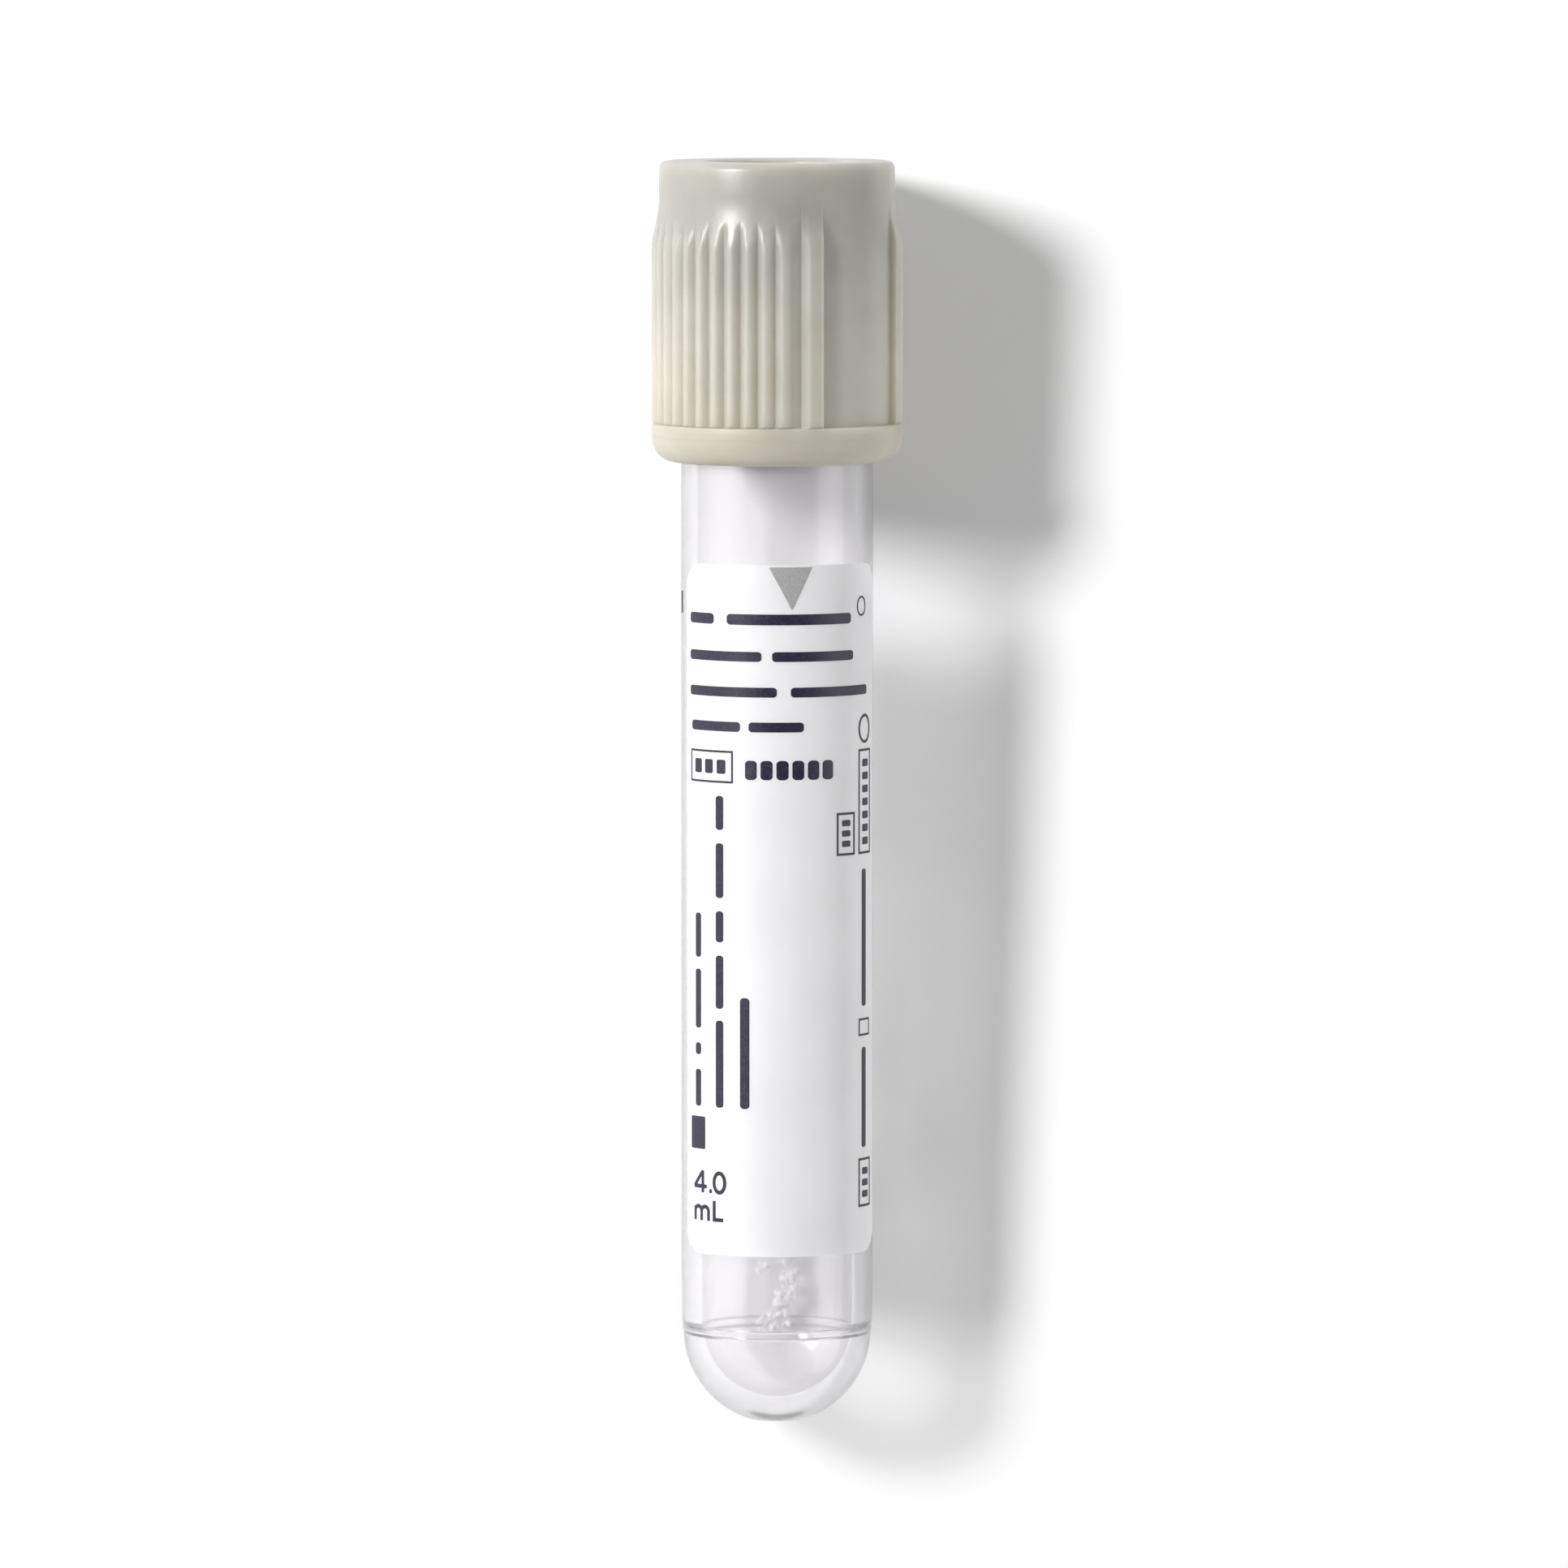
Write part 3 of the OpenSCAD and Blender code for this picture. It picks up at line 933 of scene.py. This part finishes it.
# Words on the rows that run round the tube: height of the middle, bar height, ends.
ROWS = (
    (54.75, 0.72, ((-62, -40), (-31, 49))),
    (52.25, 0.66, ((-62, -9), (-3, 51))),
    (49.85, 0.66, ((-62, 0), (8, 66))),
    (47.5, 0.66, ((-60, -22), (-17, 16))),
)
# Words on the rows that run along the tube: angle of the middle, bar width, ends.
COLUMNS = (
    (-53.5, 0.62, ((21.7, 24.2), (25.2, 26.0), (27.0, 31.0), (31.8, 34.8))),
    (-36.0, 0.66, ((21.7, 27.6), (28.4, 32.0), (32.9, 35.0), (35.9, 39.6), (40.5, 42.8))),
    (-19.3, 0.7, ((21.7, 29.2),)),
    (62.5, 0.6, ((18.8, 25.6), (28.4, 37.7))),
)
WORD_ROUND = 0.4  # radius of a word's corners, as a share of its height
# Ring-shaped signs: middle, height, half width, half height, line.
SIGNS = ((59.5, 55.5, 4.4, 0.62, 0.13), (63.5, 47.2, 6.4, 0.9, 0.2))
# Outlined boxes: left, right, low, high, line.
BOXES = (
    (-60.5, -27.3, 43.75, 45.8, 0.14),
    (57.0, 71.0, 38.8, 45.75, 0.16),
    (38.2, 51.8, 38.8, 41.55, 0.16),
    (57.2, 69.5, 26.45, 27.5, 0.14),
    (57.2, 71.0, 14.85, 18.0, 0.16),
)
# Runs of equal bars: number, step round and along, then left, right, low, high, corner.
RUNS = (
    (3, 9.2, 0, (-56.5, -50.1, 44.3, 45.25, 0.15)),
    (6, 9.35, 0, (-19.2, -11.8, 43.95, 45.25, 0.3)),
    (7, 0, 0.88, (60.5, 68.0, 39.35, 39.85, 0.12)),
    (3, 0, 0.7, (41.5, 48.5, 39.3, 39.72, 0.12)),
    (3, 0, 0.78, (60.5, 68.0, 15.4, 15.86, 0.12)),
    (1, 0, 0, (-60.8, -47.2, 18.8, 21.0, 0.12)),
)
# The mark on the barrel, past the label's left edge: left, right, low, high, corner.
FILL_MARK = (-83.5, -77.5, 54.9, 56.4, 0.05)
FIGURE_LOW, UNIT_LOW, FIGURE_LINE = 15.85, 13.95, 0.26
# The grey pointer's lower edge: angle, and share of the way down to its tip.
POINTER_TIP, POINTER_INSET = 55.45, 0.12
POINTER_EDGE = (
    (-4.4, 0.02), (-2.0, 0.2), (1.0, 0.42), (4.4, 0.68), (7.0, 0.88), (8.4, 1.0),
    (9.4, 1.0), (10.8, 0.88), (13.2, 0.68), (16.2, 0.42), (18.8, 0.2), (20.9, 0.02),
)


def ink_shapes():
    """Everything printed in dark ink: bars for words, boxes, rings and a figure."""
    shapes = []
    for s, height, words in ROWS:
        low, high = s - height / 2, s + height / 2
        for left, right in words:
            shapes.append(bar(left, right, low, high, height * WORD_ROUND))
    for middle, width, words in COLUMNS:
        half = degrees_of(width / 2)
        for low, high in words:
            shapes.append(bar(middle - half, middle + half, low, high, width * WORD_ROUND))
    shapes += [oval(*sign) for sign in SIGNS]
    shapes += [box(*outline) for outline in BOXES]
    for number, turn, rise, (left, right, low, high, corner) in RUNS:
        for k in range(number):
            around, along = turn * k, rise * k
            shapes.append(
                bar(left + around, right + around, low + along, high + along, corner)
            )
    return shapes + capacity_shapes()


def capacity_shapes():
    """The plain capacity figure near the round end: 4.0 over mL."""
    line, low = FIGURE_LINE, FIGURE_LOW
    figure = [
        band([(-46.0, low + 0.42), (-57.6, low + 0.42)], line),
        band([(-57.2, low + 0.42), (-49.6, low + 1.42)], line),
        band([(-49.4, low + 1.5), (-49.4, low)], line),
        bar(-43.9, -41.7, low, low + line, 0.08),
        oval(-36.2, low + 0.74, 3.9, 0.66, line),
    ]
    low = UNIT_LOW
    figure.append(band([(-56.5, low), (-56.5, low + 0.95)], line))
    for left in (-56.5, -50.5):
        arch = arc((0, 0), 1, 180, 0, 6)
        path = [(left + 3.0 + 3.0 * a, low + 0.66 + 0.3 * b) for a, b in arch]
        figure.append(band(path + [(left + 6.0, low)], line))
    figure.append(band([(-40.0, low + 1.4), (-40.0, low)], line))
    figure.append(band([(-41.1, low + 0.12), (-33.4, low + 0.12)], line))
    return figure


def pointer_shape(top):
    """The grey pointer, which hangs from the height top down to its tip."""
    reach = top - POINTER_TIP
    pairs = [((a, max(POINTER_TIP, top - reach * f)), (a, top)) for a, f in POINTER_EDGE]
    return pairs, False


def paper_finish(tone):
    """Slightly mottled satin paper."""
    paper = Finish("label paper")
    fibre = paper.noise(2600, 4, 0.6, paper.stretched(0.5))
    shade = paper.ramp(paper.noise(160, 3), 0.35, 0.65, tone, toned(tone, 0.965))
    paper.set(
        Base_Color=shade,
        Roughness=paper.remap(fibre, 0.3, 0.7, 0.42, 0.55),
        Specular_IOR_Level=0.35,
        Sheen_Weight=0.9,
        Sheen_Roughness=0.5,
        Normal=paper.bump(fibre, 0.000008),
    )
    paper.glow_through(0.32, shade)
    paper.let_light_through((0.62, 0.62, 0.62), (0.5, 0.5, 0.5))
    return paper


def ink_finish(dark):
    """Dark ink, a little thin in places."""
    ink = Finish("printed ink")
    speck = ink.noise(5200, 3, 0.6)
    thin = tuple(c + 0.02 for c in dark)
    ink.set(
        Base_Color=ink.ramp(speck, 0.45, 0.75, dark, thin),
        Roughness=ink.remap(speck, 0.3, 0.7, 0.35, 0.5),
        Normal=ink.bump(speck, 0.000004),
    )
    return ink


def grey_finish(tone):
    """Grey, printed as fine dots."""
    grey = Finish("grey printed pointer")
    dots = grey.cells(9500)
    grey.set(
        Base_Color=grey.ramp(dots, 0.25, 0.6, toned(tone, 1.22), tone),
        Roughness=0.5,
        Normal=grey.bump(dots, 0.000003),
    )
    return grey


def printed(name, shapes, radius, rise, finish):
    """A thin printed piece on a surface of the given radius."""
    piece = strips(name, shapes, radius - PRINT_SUNK, radius + rise)
    smooth(piece, 30)
    dress(piece, finish, "tube_body")


class SAMPLE_OT_label(bpy.types.Operator):
    """Builds the paper label, its printed fields and the fill mark"""

    bl_idname = "sample.label"
    bl_label = "Label"

    def execute(self, context):
        sizes = context.scene.sample_label
        barrel = context.scene.sample_tube.radius / MM
        low, high = sizes.low / MM, sizes.high / MM
        left, right = math.degrees(LABEL_LEFT), math.degrees(LABEL_RIGHT)
        sheet = bar(left, right, low, high, sizes.corner / MM)
        label = strips("paper_label", [sheet], barrel - 0.01, LABEL_RADIUS)
        smooth(label, 40)
        dress(label, paper_finish(tuple(sizes.paper)), "tube_body", "label")
        ink, grey = ink_finish(tuple(sizes.ink)), grey_finish(tuple(sizes.pointer))
        pointer = pointer_shape(high - POINTER_INSET)
        printed("label_print", ink_shapes(), LABEL_RADIUS, INK_RISE, ink)
        printed("fill_mark", [bar(*FILL_MARK)], barrel, INK_RISE, ink)
        printed("fill_pointer", [pointer], LABEL_RADIUS, GREY_RISE, grey)
        return {"FINISHED"}


# -------------------------------- additive

SEED = 41
CLUMPS, TRAIL = 13, 0.9  # the clumps, and the share of the heap's length they lie on
CLUMP_STRAY, CLUMP_SIZES = 1.5, (0.35, 0.85)  # off the lowest line, and half lengths
FINE, COARSE, COARSE_EVERY = (0.07, 0.17), (0.2, 0.34), 6  # radii of the grains
END_GAP, WALL_GAP = 0.2, 0.04  # between the grains and the heap's ends, and the bore


def bore_radius(s):
    """Inner radius of the tube at height s."""
    centre = TIP_WALL + BORE_BASE_RADIUS
    if s >= centre:
        share = (s - centre) / (TUBE_HIGH - BORE_SEAT - centre)
        return BORE_BASE_RADIUS + share * (BORE_MOUTH_RADIUS - BORE_BASE_RADIUS)
    return math.sqrt(max(BORE_BASE_RADIUS**2 - (centre - s) ** 2, 0.01))


def crystal(work, centre, size, draw):
    """One crooked grain."""
    made = bmesh.ops.create_icosphere(work, subdivisions=1, radius=1.0)
    turn = Vector([draw.uniform(-1, 1) for _ in range(3)]).normalized()
    for vert in made["verts"]:
        wobble = 1 + 0.35 * draw.uniform(-1, 1)
        flat = 1 - 0.45 * abs(vert.co.normalized().dot(turn))
        vert.co = centre + vert.co * (size * MM * wobble * flat)


def heap_mesh(grains):
    """A trail of small clumps of grains on the lowest line of the bore."""
    draw = random.Random(SEED)
    work = bmesh.new()
    middle, half = (HEAP_LOW + HEAP_HIGH) / 2, (HEAP_HIGH - HEAP_LOW) / 2
    clumps = []
    for k in range(CLUMPS):
        along = middle + half * TRAIL * (2 * k / (CLUMPS - 1) - 1)
        fade = math.sin(math.pi * (k + 0.7) / (CLUMPS + 0.4))
        across = draw.uniform(-CLUMP_STRAY, CLUMP_STRAY) * fade
        clumps.append((along, across, draw.uniform(*CLUMP_SIZES)))
    for i in range(grains):
        s0, across0, spread = clumps[i % CLUMPS]
        out, spin = draw.random() ** 0.7, draw.uniform(0, 2 * math.pi)
        s = s0 + spread * out * math.cos(spin)
        s = min(max(s, HEAP_LOW + END_GAP), HEAP_HIGH - END_GAP)
        across = across0 + 1.3 * spread * out * math.sin(spin)
        pile = 1.1 * spread * (1 - out**1.5) * draw.random()
        size = draw.uniform(*(FINE if i % COARSE_EVERY else COARSE))
        floor = math.sqrt(max(bore_radius(s) ** 2 - across**2, 0.1))
        depth = floor - size * 1.05 - WALL_GAP - pile
        centre = TIP + MM * (across * ACROSS - depth * UP + s * ALONG)
        crystal(work, centre, size, draw)
    bmesh.ops.recalc_face_normals(work, faces=work.faces)
    mesh = bpy.data.meshes.new("additive_grains")
    work.to_mesh(mesh)
    work.free()
    return mesh


class SAMPLE_OT_additive(bpy.types.Operator):
    """Builds the dry additive, a trail of small clumps of loose crystals"""

    bl_idname = "sample.additive"
    bl_label = "Additive"

    def execute(self, context):
        sizes = context.scene.sample_additive
        heap = show("additive_grains", heap_mesh(sizes.grains))
        finish = Finish("dry additive")
        dust = finish.noise(3000, 4, 0.65)
        white = tuple(sizes.colour)
        finish.set(
            Base_Color=finish.ramp(dust, 0.3, 0.7, toned(white, 0.93), white),
            Roughness=finish.remap(dust, 0.3, 0.7, 0.5, 0.85),
            Subsurface_Weight=0.2,
            Subsurface_Radius=(1.0, 1.0, 1.0),
            Subsurface_Scale=0.0003,
            Normal=finish.bump(finish.noise(14000, 2), 0.00002),
        )
        dress(heap, finish, "tube_body", "additive")
        return {"FINISHED"}


# -------------------------------- stage

# Lights: direction from the object, distance in metres, width and height in metres.
KEY = (Vector((-0.681, 0.328, 0.655)), 1.1, (0.32, 0.2))
SIDE = (Vector((0.92, -0.1, 0.36)), 1.2, (2.2, 0.75))
LIT_POINT = Vector((0, 0, 0.008))
LEFT_EXCESS = 0.1  # share by which the light from the left is above the mean
SENSOR, LENS = 36, 305.9  # millimetres
CAMERA_X, CAMERA_Y = 0.00047, 0.0382
LOOK_AT = Vector((CAMERA_X, 0.0004, 0.0077))
NEAR, FAR = 0.05, 20


def area_light(name, placing, power):
    """A soft light that the camera doesn't see, turned towards the object."""
    direction, distance, (width, height) = placing
    lamp = bpy.data.lights.new(name, "AREA")
    lamp.shape = "ELLIPSE"
    lamp.size, lamp.size_y = width, height
    lamp.energy = power
    thing = show(name, lamp)
    thing.location = LIT_POINT + direction.normalized() * distance
    thing.rotation_mode = "QUATERNION"
    thing.rotation_quaternion = (LIT_POINT - thing.location).to_track_quat("-Z", "Y")
    thing.visible_camera = False


def surround(scene, overhead, horizon):
    """White light from all round: strong low down, most of all on the left, weak above."""
    world = bpy.data.worlds.new("studio")
    scene.world = world
    world.use_nodes = True
    tree = world.node_tree

    def step(operation, *values):
        sockets = dict(enumerate(values))
        return add_node(tree, "ShaderNodeMath", sockets, operation=operation).outputs[0]

    place = add_node(tree, "ShaderNodeTexCoord", {}).outputs["Generated"]
    split = add_node(tree, "ShaderNodeSeparateXYZ", {0: place})
    low = step("SUBTRACT", 1.0, step("ABSOLUTE", split.outputs["Z"]))
    glow = step("MULTIPLY", step("MULTIPLY", low, low), horizon)
    bias = step("SUBTRACT", 1.0, step("MULTIPLY", split.outputs["X"], LEFT_EXCESS))
    back = tree.nodes["Background"]
    feed(tree, back.inputs["Color"], (1, 1, 1, 1))
    feed(tree, back.inputs["Strength"], step("ADD", step("MULTIPLY", glow, bias), overhead))


def studio_floor(side, tone):
    """A square floor, round the origin."""
    half = side / 2
    corners = [(-half, -half, 0), (half, -half, 0), (half, half, 0), (-half, half, 0)]
    mesh = bpy.data.meshes.new("floor")
    mesh.from_pydata(corners, [], [(0, 1, 2, 3)])
    floor = show("floor", mesh)
    finish = Finish("studio floor")
    finish.set(
        Base_Color=finish.ramp(finish.noise(60, 3), 0.3, 0.7, tone, toned(tone, 0.99)),
        Roughness=0.85,
        Specular_IOR_Level=0.2,
    )
    floor.data.materials.append(finish.material)


def studio_camera(scene, height):
    """A long lens high over the object, looking down on it."""
    camera = bpy.data.cameras.new("camera")
    camera.sensor_width, camera.lens = SENSOR, LENS
    camera.clip_start, camera.clip_end = NEAR, FAR
    eye = show("camera", camera)
    eye.location = (CAMERA_X, CAMERA_Y, height)
    view = (LOOK_AT - eye.location).normalized()
    turn = Matrix((ACROSS, ACROSS.cross(view), -view)).transposed()
    eye.rotation_euler = turn.to_euler()
    scene.camera = eye


class SAMPLE_OT_stage(bpy.types.Operator):
    """Builds the floor, the studio lights and the camera"""

    bl_idname = "sample.stage"
    bl_label = "Stage"

    def execute(self, context):
        scene = context.scene
        sizes = scene.sample_stage
        studio_floor(sizes.floor_side, tuple(sizes.floor_colour))
        area_light("key", KEY, sizes.key_power)
        area_light("side", SIDE, sizes.side_power)
        surround(scene, sizes.fill_level, sizes.horizon_level)
        studio_camera(scene, sizes.camera_height)
        scene.view_settings.view_transform = "Standard"
        return {"FINISHED"}


# -------------------------------- add-on


class SAMPLE_PT_panel(bpy.types.Panel):
    """The sample tube's parts and sizes"""

    bl_label = "Sample Tube"
    bl_idname = "SAMPLE_PT_panel"
    bl_space_type = "VIEW_3D"
    bl_region_type = "UI"
    bl_category = "Sample Tube"

    def draw(self, context):
        for group, operators in PANEL_ROWS:
            settings = getattr(context.scene, group)
            section = self.layout.box()
            for key in settings.bl_rna.properties.keys():
                if key not in ("rna_type", "name"):
                    section.prop(settings, key)
            for operator in operators:
                section.operator(operator)


PANEL_ROWS = (
    ("sample_tube", ("sample.tube",)),
    ("sample_closure", ("sample.shield", "sample.stopper")),
    ("sample_label", ("sample.label",)),
    ("sample_additive", ("sample.additive",)),
    ("sample_stage", ("sample.stage",)),
)
GROUPS = {
    "sample_tube": TubeSettings,
    "sample_closure": ClosureSettings,
    "sample_label": LabelSettings,
    "sample_additive": AdditiveSettings,
    "sample_stage": StageSettings,
}
CLASSES = (
    *GROUPS.values(),
    SAMPLE_OT_tube,
    SAMPLE_OT_shield,
    SAMPLE_OT_stopper,
    SAMPLE_OT_label,
    SAMPLE_OT_additive,
    SAMPLE_OT_stage,
    SAMPLE_PT_panel,
)


def register():
    for cls in CLASSES:
        bpy.utils.register_class(cls)
    for name, group in GROUPS.items():
        setattr(bpy.types.Scene, name, bpy.props.PointerProperty(type=group))


def unregister():
    for name in GROUPS:
        delattr(bpy.types.Scene, name)
    for cls in reversed(CLASSES):
        bpy.utils.unregister_class(cls)


def main():
    register()
    bpy.ops.sample.stage()
    bpy.ops.sample.tube()
    bpy.ops.sample.shield()
    bpy.ops.sample.stopper()
    bpy.ops.sample.label()
    bpy.ops.sample.additive()


if __name__ == "__main__":
    main()
